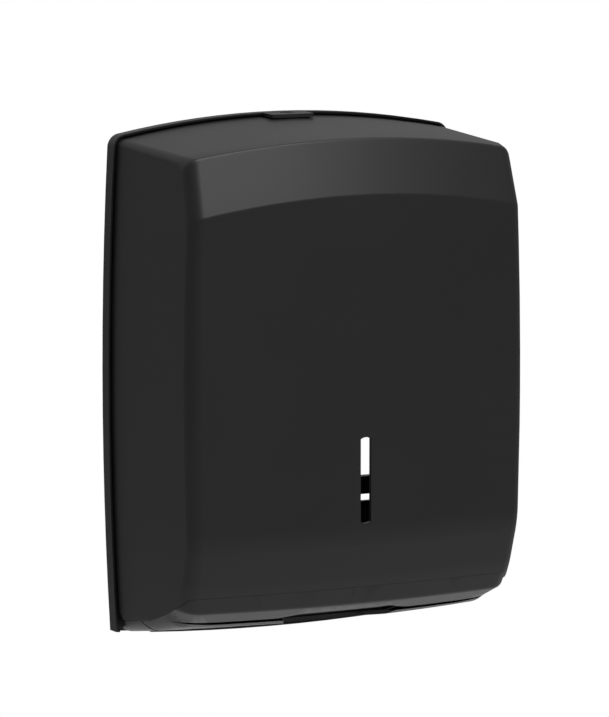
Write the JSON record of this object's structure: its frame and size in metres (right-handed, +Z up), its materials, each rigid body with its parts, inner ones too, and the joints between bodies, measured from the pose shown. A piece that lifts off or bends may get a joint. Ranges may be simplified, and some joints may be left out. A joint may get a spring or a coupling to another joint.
{
  "type": "wall-mounted folded paper towel dispenser",
  "caption": "Wall-mounted folded paper towel dispenser: drafted cover with arched top hinged on a flat wall plate, window slot and bottom mouth with finger notch.",
  "frame": {"origin": "on the wall face of the wall plate, on its vertical centre line, level with the plate's two bottom corners", "axes": "+Z up, +Y into the wall, +X to the right seen from the front"},
  "size_m": [0.28, 0.134, 0.373],
  "materials": {
    "black_abs": "satin moulded black ABS",
    "lock_abs": "satin black plastic",
    "black_rubber": "matt rubber",
    "acetal_bush": "natural acetal",
    "steel_pin": "drawn steel",
    "keeper_steel": "zinc-plated sheet steel",
    "zinc_screw": "zinc-plated"
  },
  "bodies": {
    "plate": {"wall_plate": "black_abs", "closing_buffers": "black_rubber", "hinge_pin_left": "steel_pin", "hinge_pin_right": "steel_pin"},
    "cover": {"cover_shell": "black_abs", "outlet_bezel": "black_abs", "floor_tray": "black_abs", "hinge_cheek_left": "black_abs", "hinge_cheek_right": "black_abs", "pin_bush_left": "acetal_bush", "pin_bush_right": "acetal_bush", "cheek_screws": "zinc_screw", "tray_screws": "zinc_screw", "bezel_screws": "zinc_screw", "keeper_plate": "keeper_steel", "keeper_screws": "zinc_screw"},
    "lock": {"lock_barrel": "lock_abs", "lock_clip": "steel_pin", "lock_cam": "keeper_steel", "cam_screw": "zinc_screw"}
  },
  "joints": [
    {"name": "cover_tilt", "type": "hinge", "parent": "plate", "child": "cover", "pos_m": [0, -0.014, 0.0095], "axis": [1, 0, 0], "range_deg": [0, 75]},
    {"name": "lock_turn", "type": "hinge", "parent": "plate", "child": "lock", "pos_m": [0, -0.017, 0.36], "axis": [0, 0, 1], "range_deg": [0, 90]}
  ]
}
